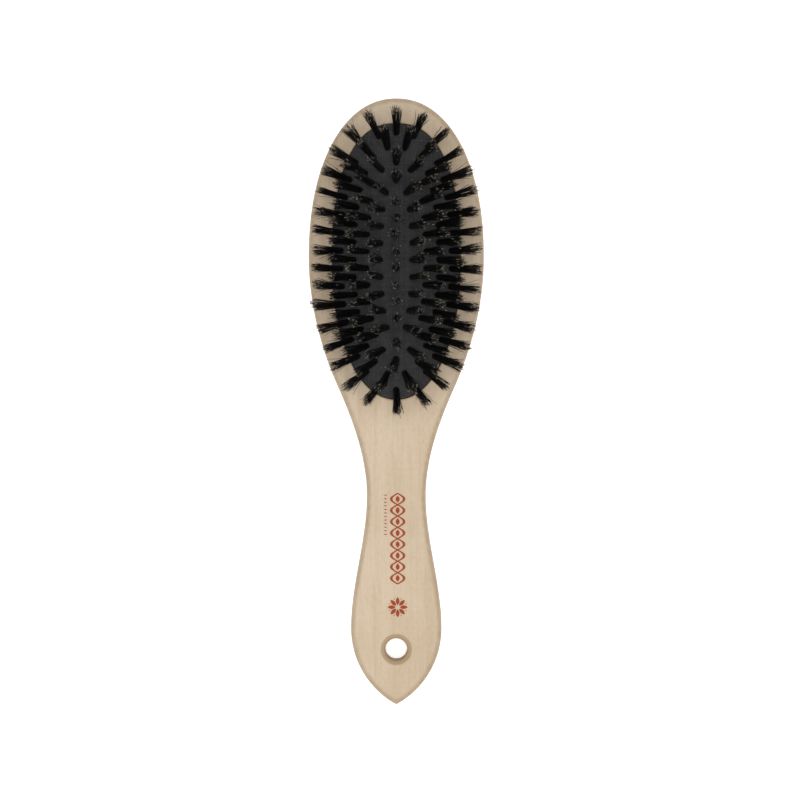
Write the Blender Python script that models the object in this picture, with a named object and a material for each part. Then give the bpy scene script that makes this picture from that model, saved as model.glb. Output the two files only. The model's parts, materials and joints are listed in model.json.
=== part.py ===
"""Oval cushion brush: a one-piece wooden back, an air cushion of cloth-faced rubber, and looped tufts.

It lies on its back. +Y runs from the handle to the head, +Z is the way the bristles stand, and the origin is
under the middle of the brush, on the surface that it lies on. Sizes are in metres.
"""

import math

import bmesh
import bpy
from mathutils import Vector
from mathutils.geometry import delaunay_2d_cdt

MM = 0.001

# Wooden back: the lengths of its stretches, from the tail's point to the head's end
TAIL_LENGTH = 28 * MM  # point to the widest part of the grip
GRIP_LENGTH = 48.4 * MM  # widest part of the grip to the waist
NECK_LENGTH = 39.5 * MM  # waist to the shoulder, where the outline turns
SHOULDER_LENGTH = 48.1 * MM  # shoulder to the widest part of the head
HEAD_END_LENGTH = 58 * MM  # widest part of the head to its end
GRIP_HALF_WIDTH = 16.6 * MM
WAIST_HALF_WIDTH = 10.8 * MM
SHOULDER_HALF_WIDTH = 21.2 * MM
HEAD_HALF_WIDTH = 32.1 * MM
SHOULDER_FLARE = 0.446  # half width gained for each unit of length at the shoulder
HEAD_FULLNESS = 2.15  # 2 is an ellipse, more is squarer
BOARD_THICKNESS = 14 * MM
FRONT_ROUNDING = 2 * MM
BACK_ROUNDING = 4.5 * MM

# Hanging hole, countersunk on both faces
HANG_HOLE_RADIUS = 4 * MM
HANG_HOLE_FROM_TAIL = 20.3 * MM
COUNTERSINK_WIDTH = 1.6 * MM
COUNTERSINK_DEPTH = 1.2 * MM

# Pocket for the cushion, with a groove round its wall
SIDE_RIM_WIDTH = 8.6 * MM  # wood left beside the pocket
END_RIM_WIDTH = 9.3 * MM  # wood left at the head's end
POCKET_SET_BACK = 1.8 * MM  # from the widest part of the head towards the handle
POCKET_DEPTH = 5.5 * MM
HEAD_END_FULLNESS = 2.4
HANDLE_END_FULLNESS = 2.1
GROOVE_TOP = 1.7 * MM  # below the wood's face
GROOVE_HEIGHT = 2 * MM
GROOVE_DEPTH = 1.3 * MM

# Cushion: cloth on rubber, held by a lip in the groove
DOME_HEIGHT = 9 * MM
CLOTH_THICKNESS = 0.5 * MM
RUBBER_THICKNESS = 1.2 * MM
LAYER_GAP = 0.35 * MM  # between pieces that touch
CLOTH_TUCK = 1.3 * MM  # how far the cloth goes down the pocket's wall
VENT_RADIUS = 0.6 * MM

# Tufts: rings that grow from the centre row to the edge
CENTRE_ROW_HALF_LENGTH = 21 * MM
END_SPREAD = 1.15  # above 1, the rings lie closer together at the ends of the cushion
RING_SPREAD = 0.9  # below 1, the rings lie closer together towards the edge
EDGE_RING_INSET = 3.4 * MM
TUFT_LENGTH = 15 * MM
TUFT_TIP_RADIUS = 1.75 * MM
TUFT_RADIUS = 0.95 * MM
SIDE_LEAN = 1.4  # lean from the upright, as a multiple of the cushion's slope
END_LEAN = 1.2
TUFT_CLEARANCE = 0.2 * MM
LOOP_RADIUS = 0.9 * MM
LOOP_OVERHANG = 0.5 * MM
LOOP_GAP = 0.5 * MM  # between a loop and the rubber

# Name, tufts, how many of them are looped together, and for a ring, the steps that its first tuft is turned
CENTRE_ROW = ("centre_tuft_row", 8, 4)
RINGS = (
    ("inner_tuft_pair", 20, 2, 0.0),
    ("middle_tuft_pair", 26, 2, 0.0),
    ("outer_tuft_pair", 30, 2, 0.5),
    ("edge_tuft_pair", 34, 2, 0.0),
)

# How finely round shapes are cut
HEAD_STEPS = 24
SIDE_STEPS = 7
RIM_STEPS = 56
HOLE_STEPS = 24
LAYOUT_STEPS = 720
TUFT_SIDES = 6
ROUNDING_STEPS = 2

brush_length = TAIL_LENGTH + GRIP_LENGTH + NECK_LENGTH + SHOULDER_LENGTH + HEAD_END_LENGTH
tail_y = -brush_length / 2
grip_y = tail_y + TAIL_LENGTH
waist_y = grip_y + GRIP_LENGTH
shoulder_y = waist_y + NECK_LENGTH
head_y = shoulder_y + SHOULDER_LENGTH
pocket_y = head_y - POCKET_SET_BACK
pocket_half_width = HEAD_HALF_WIDTH - SIDE_RIM_WIDTH
pocket_half_length = HEAD_END_LENGTH + POCKET_SET_BACK - END_RIM_WIDTH
cushion_depth = CLOTH_THICKNESS + LAYER_GAP + RUBBER_THICKNESS


def clear_scene():
    for obj in list(bpy.data.objects):
        bpy.data.objects.remove(obj)


def material(name, colour, roughness, metallic=0.0):
    made = bpy.data.materials.new(name)
    made.use_nodes = True
    shader = made.node_tree.nodes["Principled BSDF"]
    shader.inputs["Base Color"].default_value = (*colour, 1)
    shader.inputs["Roughness"].default_value = roughness
    shader.inputs["Metallic"].default_value = metallic
    return made


def add_object(name, data, finish=None, parent=None, location=(0, 0, 0)):
    obj = bpy.data.objects.new(name, data)
    bpy.context.scene.collection.objects.link(obj)
    obj.parent = parent
    obj.location = location
    if finish:
        data.materials.append(finish)
    return obj


def mesh_from(name, bm, sharp_angle=35):
    bmesh.ops.recalc_face_normals(bm, faces=bm.faces)
    mesh = bpy.data.meshes.new(name)
    bm.to_mesh(mesh)
    bm.free()
    mesh.shade_smooth()
    mesh.set_sharp_from_angle(angle=math.radians(sharp_angle))
    return mesh


def hide_helper(obj):
    obj.hide_render = True
    obj.display_type = "WIRE"
    return obj


def add_boolean(obj, other, operation):
    modifier = obj.modifiers.new(other.name, "BOOLEAN")
    modifier.operation = operation
    modifier.object = other
    modifier.solver = "EXACT"


def add_loft(bm, rings):
    """Closed shape through rings of equally many points, with a flat cap at each end."""
    rows = [[bm.verts.new(point) for point in ring] for ring in rings]
    for low, high in zip(rows, rows[1:]):
        bridge(bm, low, high)
    bm.faces.new(reversed(rows[0]))
    bm.faces.new(rows[-1])


def bridge(bm, low, high):
    for i, vert in enumerate(low):
        after = (i + 1) % len(low)
        bm.faces.new((vert, low[after], high[after], high[i]))


def turns(steps):
    return [2 * math.pi * i / steps for i in range(steps)]


# Wooden back


def eased(low, high, slope_low, slope_high, share):
    """Cubic curve between two values, with the given slopes at its ends."""
    s2, s3 = share * share, share**3
    return (
        low * (2 * s3 - 3 * s2 + 1)
        + high * (3 * s2 - 2 * s3)
        + slope_low * (s3 - 2 * s2 + share)
        + slope_high * (s3 - s2)
    )


def right_side():
    """Points of the outline with x above 0, from the tail's point up to the head's end."""
    points = []
    tail_radius = (GRIP_HALF_WIDTH**2 + TAIL_LENGTH**2) / (2 * GRIP_HALF_WIDTH)
    for i in range(1, SIDE_STEPS):
        y = TAIL_LENGTH * (1 - i / SIDE_STEPS)
        x = GRIP_HALF_WIDTH - tail_radius + math.sqrt(tail_radius**2 - y * y)
        points.append((x, grip_y - y))
    stretches = (
        (grip_y, waist_y, GRIP_HALF_WIDTH, WAIST_HALF_WIDTH, 0, 0),
        (waist_y, shoulder_y, WAIST_HALF_WIDTH, SHOULDER_HALF_WIDTH, 0, SHOULDER_FLARE),
        (shoulder_y, head_y, SHOULDER_HALF_WIDTH, HEAD_HALF_WIDTH, SHOULDER_FLARE, 0),
    )
    for start, end, low, high, flare_low, flare_high in stretches:
        length = end - start
        for i in range(SIDE_STEPS):
            share = i / SIDE_STEPS
            x = eased(low, high, flare_low * length, flare_high * length, share)
            points.append((x, start + length * share))
    for i in range(HEAD_STEPS // 2):
        angle = math.pi * i / HEAD_STEPS
        x, y = oval_point(HEAD_HALF_WIDTH, HEAD_END_LENGTH, HEAD_FULLNESS, angle)
        points.append((x, head_y + y))
    return points


def oval_point(half_width, half_length, fullness, angle):
    """Point of a superellipse."""
    c, s = math.cos(angle), math.sin(angle)
    x = math.copysign(abs(c) ** (2 / fullness), c) * half_width
    y = math.copysign(abs(s) ** (2 / fullness), s) * half_length
    return x, y


def board_outline():
    side = right_side()
    left = [(-x, y) for x, y in reversed(side)]
    return [(0, tail_y), *side, (0, head_y + HEAD_END_LENGTH), *left]


def round_edges(bm, z, radius):
    edges = [e for e in bm.edges if all(abs(v.co.z - z) < 1e-6 for v in e.verts)]
    bmesh.ops.bevel(bm, geom=edges, offset=radius, segments=ROUNDING_STEPS, profile=0.5, affect="EDGES")


def wood_body(finish, pocket_cutter, hole_cutter):
    bm = bmesh.new()
    base = bm.faces.new([bm.verts.new((x, y, 0)) for x, y in board_outline()])
    raised = bmesh.ops.extrude_face_region(bm, geom=[base])["geom"]
    upper = [v for v in raised if isinstance(v, bmesh.types.BMVert)]
    bmesh.ops.translate(bm, verts=upper, vec=(0, 0, BOARD_THICKNESS))
    round_edges(bm, BOARD_THICKNESS, FRONT_ROUNDING)
    round_edges(bm, 0, BACK_ROUNDING)
    obj = add_object("wood_body", mesh_from("wood_body", bm), finish)
    add_boolean(obj, pocket_cutter, "DIFFERENCE")
    add_boolean(obj, hole_cutter, "DIFFERENCE")


def hang_hole_cutter():
    past = 1 * MM
    widest = HANG_HOLE_RADIUS + COUNTERSINK_WIDTH * (1 + past / COUNTERSINK_DEPTH)
    profile = (
        (widest, -past),
        (HANG_HOLE_RADIUS, COUNTERSINK_DEPTH),
        (HANG_HOLE_RADIUS, BOARD_THICKNESS - COUNTERSINK_DEPTH),
        (widest, BOARD_THICKNESS + past),
    )
    bm = bmesh.new()
    add_loft(bm, [[(r * math.cos(a), r * math.sin(a), z) for a in turns(HOLE_STEPS)] for r, z in profile])
    cutter = add_object("hang_hole_cutter", mesh_from("hang_hole_cutter", bm))
    cutter.location = (0, tail_y + HANG_HOLE_FROM_TAIL, 0)
    return hide_helper(cutter)


# Cushion. From here on, x and y run from the pocket's centre, and z from the wood's face


def ring_size(t):
    """Half width and half length of the oval at t: 0 is the centre row and 1 is the pocket's wall."""
    spread = t * (END_SPREAD + (1 - END_SPREAD) * t)
    end_length = pocket_half_length - CENTRE_ROW_HALF_LENGTH
    return t * pocket_half_width, CENTRE_ROW_HALF_LENGTH + end_length * spread


def fullness_at(y):
    return HEAD_END_FULLNESS if y > 0 else HANDLE_END_FULLNESS


def ring_at_inset(inset):
    return 1 - inset / pocket_half_width


def ring_points(t, steps=RIM_STEPS):
    half_width, half_length = ring_size(t)
    angles = [math.pi / 2 + a for a in turns(steps)]
    return [oval_point(half_width, half_length, fullness_at(math.sin(a)), a) for a in angles]


def ring_through(x, y):
    """The t of the oval that passes through a point."""
    low, high, fullness = 0.0, 1.5, fullness_at(y)
    for _ in range(40):
        t = (low + high) / 2
        half_width, half_length = ring_size(t)
        if (abs(x) / half_width) ** fullness + (abs(y) / half_length) ** fullness > 1:
            low = t
        else:
            high = t
    return high


def dome(x, y):
    return DOME_HEIGHT * (1 - ring_through(x, y) ** 2)


def downhill(x, y):
    """The dome's slope at a point, pointing down and outwards."""
    step = 0.1 * MM
    return Vector((dome(x - step, y) - dome(x + step, y), dome(x, y - step) - dome(x, y + step))) / (2 * step)


def pocket_cutter(pocket):
    groove = ring_at_inset(-GROOVE_DEPTH)
    profile = (
        (1, 1 * MM),
        (1, -GROOVE_TOP),
        (groove, -GROOVE_TOP),
        (groove, -GROOVE_TOP - GROOVE_HEIGHT),
        (1, -GROOVE_TOP - GROOVE_HEIGHT),
        (1, -POCKET_DEPTH),
    )
    bm = bmesh.new()
    add_loft(bm, [[(x, y, z) for x, y in ring_points(t)] for t, z in profile])
    return hide_helper(add_object("pocket_cutter", mesh_from("pocket_cutter", bm), parent=pocket))


class Tuft:
    """Axis of one tuft: where it leaves the cloth, and the way it stands."""

    def __init__(self, x, y):
        slope = downhill(x, y)
        out = slope.normalized() if slope.length > 1e-6 else Vector((0, 0))
        lean = math.atan(slope.length) * (END_LEAN + (SIDE_LEAN - END_LEAN) * out.x**2)
        self.base = Vector((x, y, dome(x, y)))
        self.way = Vector((out.x * math.sin(lean), out.y * math.sin(lean), math.cos(lean)))
        self.rise = self.way.z + slope.length * math.sin(lean)  # gained on the dome by each unit of length

    def at_depth(self, depth, start=None):
        """Where a line along the tuft meets the surface this far under the cloth's face."""
        point = (start or self.base).copy()
        for _ in range(6):
            point += self.way * (dome(point.x, point.y) - depth - point.z) / self.rise
        return point

    def hole(self, depth, radius):
        """Corners of its hole on the surface at this depth."""
        side = self.way.orthogonal().normalized()
        across = self.way.cross(side)
        centre = self.at_depth(depth)
        corners = [centre + radius * (math.cos(a) * side + math.sin(a) * across) for a in turns(TUFT_SIDES)]
        return [self.at_depth(depth, corner) for corner in corners]

    def root(self):
        """Where its loop turns under the rubber."""
        return self.at_depth(cushion_depth) - self.way * (LOOP_RADIUS + LOOP_GAP)


def evenly_along(path, count, turn):
    """Points at equal steps along a closed path, the first one this share of a step from its start."""
    closed = [Vector(p) for p in path] + [Vector(path[0])]
    lengths = [0.0]
    for a, b in zip(closed, closed[1:]):
        lengths.append(lengths[-1] + (b - a).length)
    found = []
    for i in range(count):
        goal = lengths[-1] * (i + turn) / count
        k = next(k for k, length in enumerate(lengths) if length > goal) - 1
        share = (goal - lengths[k]) / (lengths[k + 1] - lengths[k])
        found.append(closed[k].lerp(closed[k + 1], share))
    return found


def tuft_ring(i):
    """The t of a ring of tufts, counted from the inner one."""
    return ring_at_inset(EDGE_RING_INSET) * ((i + 1) / len(RINGS)) ** RING_SPREAD


def vent():
    """The cushion's air hole, between the centre row and the inner ring's tuft at the handle's end."""
    return Tuft(0, -(CENTRE_ROW_HALF_LENGTH + ring_size(tuft_ring(0))[1]) / 2)


def tuft_layout():
    """[(group name, [tufts], tufts looped together)], from the centre row out to the edge."""
    name, count, looped = CENTRE_ROW
    ys = [CENTRE_ROW_HALF_LENGTH * (1 - 2 * i / (count - 1)) for i in range(count)]
    layout = [(name, [Tuft(0, y) for y in ys], looped)]
    for i, (name, count, looped, turn) in enumerate(RINGS):
        places = evenly_along(ring_points(tuft_ring(i), LAYOUT_STEPS), count, turn)
        layout.append((name, [Tuft(x, y) for x, y in places], looped))
    return layout


def add_pierced_face(bm, depth, inset, tufts):
    """One face of a cushion layer, triangulated round its holes. Returns its rim and each hole's corners."""
    t = ring_at_inset(inset)
    rim = [Vector((x, y, DOME_HEIGHT * (1 - t * t) - depth)) for x, y in ring_points(t)]
    hole_radius = (TUFT_RADIUS + TUFT_CLEARANCE) / math.cos(math.pi / TUFT_SIDES)
    loops = [rim, *[tuft.hole(depth, hole_radius) for tuft in tufts], vent().hole(depth, VENT_RADIUS)]
    points = [point for loop in loops for point in loop]
    corners, start = [], 0
    for loop in loops:
        corners.append(list(range(start, start + len(loop))))
        start += len(loop)
    inside_constraints, weld = 1, 1e-7
    flat = [Vector((p.x, p.y)) for p in points]
    _, _, faces, whence, _, owners = delaunay_2d_cdt(flat, [], corners, inside_constraints, weld)
    verts = [bm.verts.new(point) for point in points]
    for face, owner in zip(faces, owners):
        if list(owner) == [0]:
            bm.faces.new([verts[whence[i][0]] for i in face])
    return [[verts[i] for i in loop] for loop in corners]


def cushion_layer(name, finish, pocket, tufts, faces, skirt):
    """A dome between two pierced faces, each (depth, inset), and a skirt of (inset, z) rings at its rim."""
    bm = bmesh.new()
    upper = add_pierced_face(bm, *faces[0], tufts)
    lower = add_pierced_face(bm, *faces[1], tufts)
    rows = [upper[0]]
    for inset, z in skirt:
        rows.append([bm.verts.new((x, y, z)) for x, y in ring_points(ring_at_inset(inset))])
    rows.append(lower[0])
    for high, low in zip(rows, rows[1:]):
        bridge(bm, high, low)
    for high, low in zip(upper[1:], lower[1:]):
        bridge(bm, high, low)
    return add_object(name, mesh_from(name, bm), finish, pocket)


def cloth_facing(finish, pocket, tufts):
    inner = LAYER_GAP + CLOTH_THICKNESS
    skirt = ((LAYER_GAP, -CLOTH_TUCK), (inner, -CLOTH_TUCK))
    faces = ((0, LAYER_GAP), (CLOTH_THICKNESS, inner))
    return cushion_layer("cloth_facing", finish, pocket, tufts, faces, skirt)


def rubber_cushion(finish, pocket, tufts):
    outer = CLOTH_THICKNESS + 2 * LAYER_GAP
    inner = outer + RUBBER_THICKNESS
    lip = LAYER_GAP - GROOVE_DEPTH
    lip_top = -GROOVE_TOP - LAYER_GAP
    lip_base = -GROOVE_TOP - GROOVE_HEIGHT + LAYER_GAP
    foot = -POCKET_DEPTH + LAYER_GAP
    skirt = (
        (outer, lip_top),
        (lip, lip_top),
        (lip, lip_base),
        (outer, lip_base),
        (outer, foot),
        (inner, foot),
    )
    faces = ((CLOTH_THICKNESS + LAYER_GAP, outer), (cushion_depth, inner))
    return cushion_layer("rubber_cushion", finish, pocket, tufts, faces, skirt)


# Tufts


def add_rod(bm, stations):
    """A straight or tapered rod through (centre, radius) stations."""
    axis = (stations[-1][0] - stations[0][0]).normalized()
    side = axis.orthogonal().normalized()
    across = axis.cross(side)
    spokes = [math.cos(a) * side + math.sin(a) * across for a in turns(TUFT_SIDES)]
    add_loft(bm, [[centre + radius * spoke for spoke in spokes] for centre, radius in stations])


def tuft_bundle(name, tufts, finish, guide):
    """Tufts of one bundle: its bristles stand up through neighbouring holes and loop under the rubber."""
    centre = sum((tuft.base for tuft in tufts), Vector()) / len(tufts)
    roots = [tuft.root() - centre for tuft in tufts]
    past = (roots[-1] - roots[0]).normalized() * LOOP_OVERHANG
    loop = bmesh.new()
    add_rod(loop, [(roots[0] - past, LOOP_RADIUS), (roots[-1] + past, LOOP_RADIUS)])
    obj = add_object(name, mesh_from(name, loop), finish, guide, centre)
    legs = bmesh.new()
    taper = (TUFT_TIP_RADIUS - TUFT_RADIUS) / TUFT_LENGTH
    for tuft, root in zip(tufts, roots):
        base = tuft.base - centre
        root_radius = TUFT_RADIUS - taper * (base - root).length
        add_rod(legs, [(root, root_radius), (base + tuft.way * TUFT_LENGTH, TUFT_TIP_RADIUS)])
    legs_obj = hide_helper(add_object(name + "_legs", mesh_from(name + "_legs", legs), None, guide, centre))
    add_boolean(obj, legs_obj, "UNION")


def main():
    clear_scene()
    birch = material("birch", (0.66, 0.52, 0.36), 0.45)
    cloth = material("woven_cloth", (0.022, 0.022, 0.024), 0.85)
    rubber = material("black_rubber", (0.012, 0.012, 0.013), 0.6)
    bristle = material("boar_bristle", (0.008, 0.007, 0.006), 0.4)
    pocket = add_object("pocket_frame", None, location=(0, pocket_y, BOARD_THICKNESS))
    wood_body(birch, pocket_cutter(pocket), hang_hole_cutter())
    layout = tuft_layout()
    every_tuft = [tuft for _, tufts, _ in layout for tuft in tufts]
    cloth_facing(cloth, pocket, every_tuft)
    rubber_cushion(rubber, pocket, every_tuft)
    for name, tufts, looped in layout:
        guide = add_object(name + "_press_axis", None, parent=pocket)
        for i in range(0, len(tufts), looped):
            tuft_bundle(f"{name}_{i // looped + 1:02d}", tufts[i : i + looped], bristle, guide)


main()
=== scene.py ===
import json
import math
import random

import bmesh
import bpy
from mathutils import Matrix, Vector
from mathutils.geometry import delaunay_2d_cdt

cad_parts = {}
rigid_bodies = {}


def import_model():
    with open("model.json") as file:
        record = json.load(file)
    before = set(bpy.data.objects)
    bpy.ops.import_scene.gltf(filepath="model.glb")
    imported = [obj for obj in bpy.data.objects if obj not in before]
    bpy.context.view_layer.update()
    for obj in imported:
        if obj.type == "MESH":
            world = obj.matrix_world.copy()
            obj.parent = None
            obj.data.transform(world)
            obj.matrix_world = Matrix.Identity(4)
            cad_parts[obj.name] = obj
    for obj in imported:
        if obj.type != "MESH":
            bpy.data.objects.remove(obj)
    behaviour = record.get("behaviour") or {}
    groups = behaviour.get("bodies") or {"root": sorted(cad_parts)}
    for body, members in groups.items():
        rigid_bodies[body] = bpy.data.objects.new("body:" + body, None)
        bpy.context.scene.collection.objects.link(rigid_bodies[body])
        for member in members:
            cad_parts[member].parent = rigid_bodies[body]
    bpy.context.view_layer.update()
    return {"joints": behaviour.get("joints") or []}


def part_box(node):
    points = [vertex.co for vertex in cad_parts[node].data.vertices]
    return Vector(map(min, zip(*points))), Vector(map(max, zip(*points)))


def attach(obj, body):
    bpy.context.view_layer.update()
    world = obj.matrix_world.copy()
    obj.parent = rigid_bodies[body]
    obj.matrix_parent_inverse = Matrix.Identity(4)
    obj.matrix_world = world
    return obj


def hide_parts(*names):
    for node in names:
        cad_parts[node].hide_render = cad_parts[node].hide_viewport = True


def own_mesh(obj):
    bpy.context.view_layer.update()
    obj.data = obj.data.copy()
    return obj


for leftover in list(bpy.data.objects):  # the startup scene's own cube, lamp and camera
    bpy.data.objects.remove(leftover)
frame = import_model()
mm = 0.001

woodLow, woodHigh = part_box("wood_body")
clothLow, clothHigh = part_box("cloth_facing")
faceZ = woodHigh.z  # the wood's front face, which the cushion stands on
tailY = woodLow.y


# Small helpers for objects and meshes


def addPiece(name, mesh, body=None):
    piece = bpy.data.objects.new(name, mesh)
    bpy.context.scene.collection.objects.link(piece)
    if body:
        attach(piece, body)
    return piece


def finishMesh(name, bm, finish, sharpAngle=35):
    bmesh.ops.recalc_face_normals(bm, faces=bm.faces)
    mesh = bpy.data.meshes.new(name)
    bm.to_mesh(mesh)
    bm.free()
    mesh.shade_smooth()
    mesh.set_sharp_from_angle(angle=math.radians(sharpAngle))
    mesh.materials.append(finish)
    return mesh


def finishPiece(name, bm, finish):
    piece = addPiece(name, finishMesh(name, bm, finish), "root")
    return piece


def bridge(bm, low, high):
    for i, vert in enumerate(low):
        after = (i + 1) % len(low)
        bm.faces.new((vert, low[after], high[after], high[i]))


def fillFlat(bm, loops):
    # a flat face inside the first loop and outside the others, all of them anticlockwise
    verts = [vert for loop in loops for vert in loop]
    corners, start = [], 0
    for loop in loops:
        corners.append(list(range(start, start + len(loop))))
        start += len(loop)
    flat = [vert.co.xy for vert in verts]
    _, _, faces, whence, _, owners = delaunay_2d_cdt(flat, [], corners, 1, 1e-8)
    for face, owner in zip(faces, owners):
        if list(owner) == [0]:
            bm.faces.new([verts[whence[i][0]] for i in face])


# Small helpers for node trees


def addNode(tree, kind, inputs=None, **settings):
    # inputs holds a plain value or another node's output for each socket
    node = tree.nodes.new(kind)
    for name, value in settings.items():
        setattr(node, name, value)
    for key, value in (inputs or {}).items():
        if isinstance(value, bpy.types.NodeSocket):
            tree.links.new(value, node.inputs[key])
        else:
            node.inputs[key].default_value = value
    return node


signs = {"+": "ADD", "-": "SUBTRACT", "*": "MULTIPLY", "/": "DIVIDE"}


def mathIn(tree):
    # calc("+", a, b) adds a Math node to the tree and gives its output
    def calc(sign, *terms):
        node = addNode(tree, "ShaderNodeMath", dict(enumerate(terms)), operation=signs.get(sign, sign))
        return node.outputs[0]

    return calc


def vectorMathIn(tree):
    def calc(sign, *terms):
        inputs = {0: terms[0], "Scale": terms[1]} if sign == "SCALE" else dict(enumerate(terms))
        node = addNode(tree, "ShaderNodeVectorMath", inputs, operation=signs.get(sign, sign))
        return node.outputs["Value" if sign == "LENGTH" else "Vector"]

    return calc


def joined(tree, x=0.0, y=0.0, z=0.0):
    return addNode(tree, "ShaderNodeCombineXYZ", {"X": x, "Y": y, "Z": z}).outputs[0]


def splitUp(tree, vector):
    return addNode(tree, "ShaderNodeSeparateXYZ", {0: vector}).outputs


def addStep(tree, geometry, kind, inputs=None, **settings):
    # the next Geometry Nodes step, which takes the geometry in its first socket
    node = addNode(tree, "GeometryNode" + kind, {0: geometry, **(inputs or {})}, **settings)
    return node.outputs[0]


def newTree(name, kind, inputs, outputs):
    # inputs: {label: (socket type, value)}, outputs: {label: socket type}
    tree = bpy.data.node_groups.new(name, kind)
    for label, (socketType, value) in inputs.items():
        socket = tree.interface.new_socket(label, in_out="INPUT", socket_type="NodeSocket" + socketType)
        if value is not None:
            socket.default_value = value
    for label, socketType in outputs.items():
        tree.interface.new_socket(label, in_out="OUTPUT", socket_type="NodeSocket" + socketType)
    return tree, tree.nodes.new("NodeGroupInput").outputs, tree.nodes.new("NodeGroupOutput").inputs


def sizeInputs(sizes):
    # a named tree input for each size in a piece's dictionary
    return {label: ("Int" if isinstance(size, int) else "Float", size) for label, size in sizes.items()}


def mapRange(tree, value, fromLow, fromHigh, toLow=0, toHigh=1):
    inputs = {"Value": value, "From Min": fromLow, "From Max": fromHigh, "To Min": toLow, "To Max": toHigh}
    return addNode(tree, "ShaderNodeMapRange", inputs, clamp=True).outputs["Result"]


def mixColours(tree, share, first, second):
    # 6, 7 and 2 are the Mix node's sockets for colours
    return addNode(tree, "ShaderNodeMix", {0: share, 6: first, 7: second}, data_type="RGBA").outputs[2]


def noise(tree, coordinate, scale, detail=3.0, roughness=0.55):
    inputs = {"Vector": coordinate, "Scale": scale, "Detail": detail, "Roughness": roughness}
    return addNode(tree, "ShaderNodeTexNoise", inputs).outputs[0]


# Shader groups that several finishes share


def makeWoodGrain():
    tree, given, result = newTree(
        "woodGrain",
        "ShaderNodeTree",
        {
            "Coordinate": ("Vector", None),
            "Light wood": ("Color", (0.6, 0.5, 0.36, 1)),
            "Dark wood": ("Color", (0.4, 0.3, 0.2, 1)),
            "Fibre": ("Float", 0.5),
            "Fleck": ("Float", 0.5),
        },
        {"Color": "Color", "Height": "Float", "Gloss": "Float"},
    )
    calc, vector = mathIn(tree), vectorMathIn(tree)
    place = vector("SCALE", given["Coordinate"], 1 / mm)

    def grainNoise(across, along, detail, roughness=0.55):
        # across and along the grain, in waves for each millimetre
        return noise(tree, vector("*", place, (across, along, across)), 1, detail, roughness)

    drift = grainNoise(0.03, 0.012, 2)
    place = vector("+", place, joined(tree, calc("*", drift, 6)))
    # growth rings round the tree's heart, which lies under one side of the board
    fromHeart = vector("*", vector("-", place, (26, 0, -58)), (1, 0.012, 1))
    ringCount = calc("+", calc("*", vector("LENGTH", fromHeart), 0.42), calc("*", drift, 2.2))
    lateWood = calc("POWER", calc("FRACT", ringCount), 2.5)
    bands = grainNoise(0.28, 0.006, 4, 0.6)
    fibres = grainNoise(2.6, 0.07, 5, 0.65)
    pores = grainNoise(6, 0.55, 2, 0.5)
    blotch = grainNoise(0.05, 0.03, 2)
    mottle = grainNoise(0.8, 0.5, 4, 0.7)
    bandMask = calc("*", calc("+", calc("*", lateWood, 0.3), bands), 0.4)
    fibreMask = calc("*", mapRange(tree, fibres, 0.3, 0.75), given["Fibre"])
    fleckMask = calc("*", mapRange(tree, pores, 0.6, 0.76), given["Fleck"])
    dark = calc("+", bandMask, calc("+", fibreMask, fleckMask))
    dark = calc("+", dark, mapRange(tree, blotch, 0.35, 0.7, -0.08, 0.16))
    dark = calc("+", dark, mapRange(tree, mottle, 0.3, 0.7, -0.1, 0.09))
    dark = addNode(tree, "ShaderNodeClamp", {"Value": dark}).outputs[0]
    tree.links.new(mixColours(tree, dark, given["Light wood"], given["Dark wood"]), result["Color"])
    height = calc("-", calc("*", fibres, 0.6), calc("*", fleckMask, 0.8))
    tree.links.new(height, result["Height"])
    tree.links.new(calc("+", calc("*", fibreMask, 0.35), blotch), result["Gloss"])
    return tree


def makeHandling():
    # patches where hands and use have polished or dirtied a surface, and the given edge mask roughened,
    # which the wood fills with painted shade and wear
    tree, given, result = newTree(
        "handling",
        "ShaderNodeTree",
        {"Coordinate": ("Vector", None), "Patch size": ("Float", 10 * mm), "Edge": ("Float", 0.0)},
        {"Patches": "Float", "Edge shade and wear": "Float", "Specks": "Float"},
    )
    calc, vector = mathIn(tree), vectorMathIn(tree)
    place = vector("SCALE", given["Coordinate"], calc("/", 1, given["Patch size"]))
    tree.links.new(mapRange(tree, noise(tree, place, 1, 4, 0.6), 0.35, 0.7, 0, 1), result["Patches"])
    rough = mapRange(tree, noise(tree, place, 7, 3, 0.6), 0.35, 0.65, 0.45, 1.2)
    # the edge mask, roughened: painted shade with some wear on the wood's edges, pocket and bore
    tree.links.new(calc("*", given["Edge"], rough), result["Edge shade and wear"])
    tree.links.new(mapRange(tree, noise(tree, place, 24, 1, 0.4), 0.72, 0.8, 0, 1), result["Specks"])
    return tree


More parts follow.
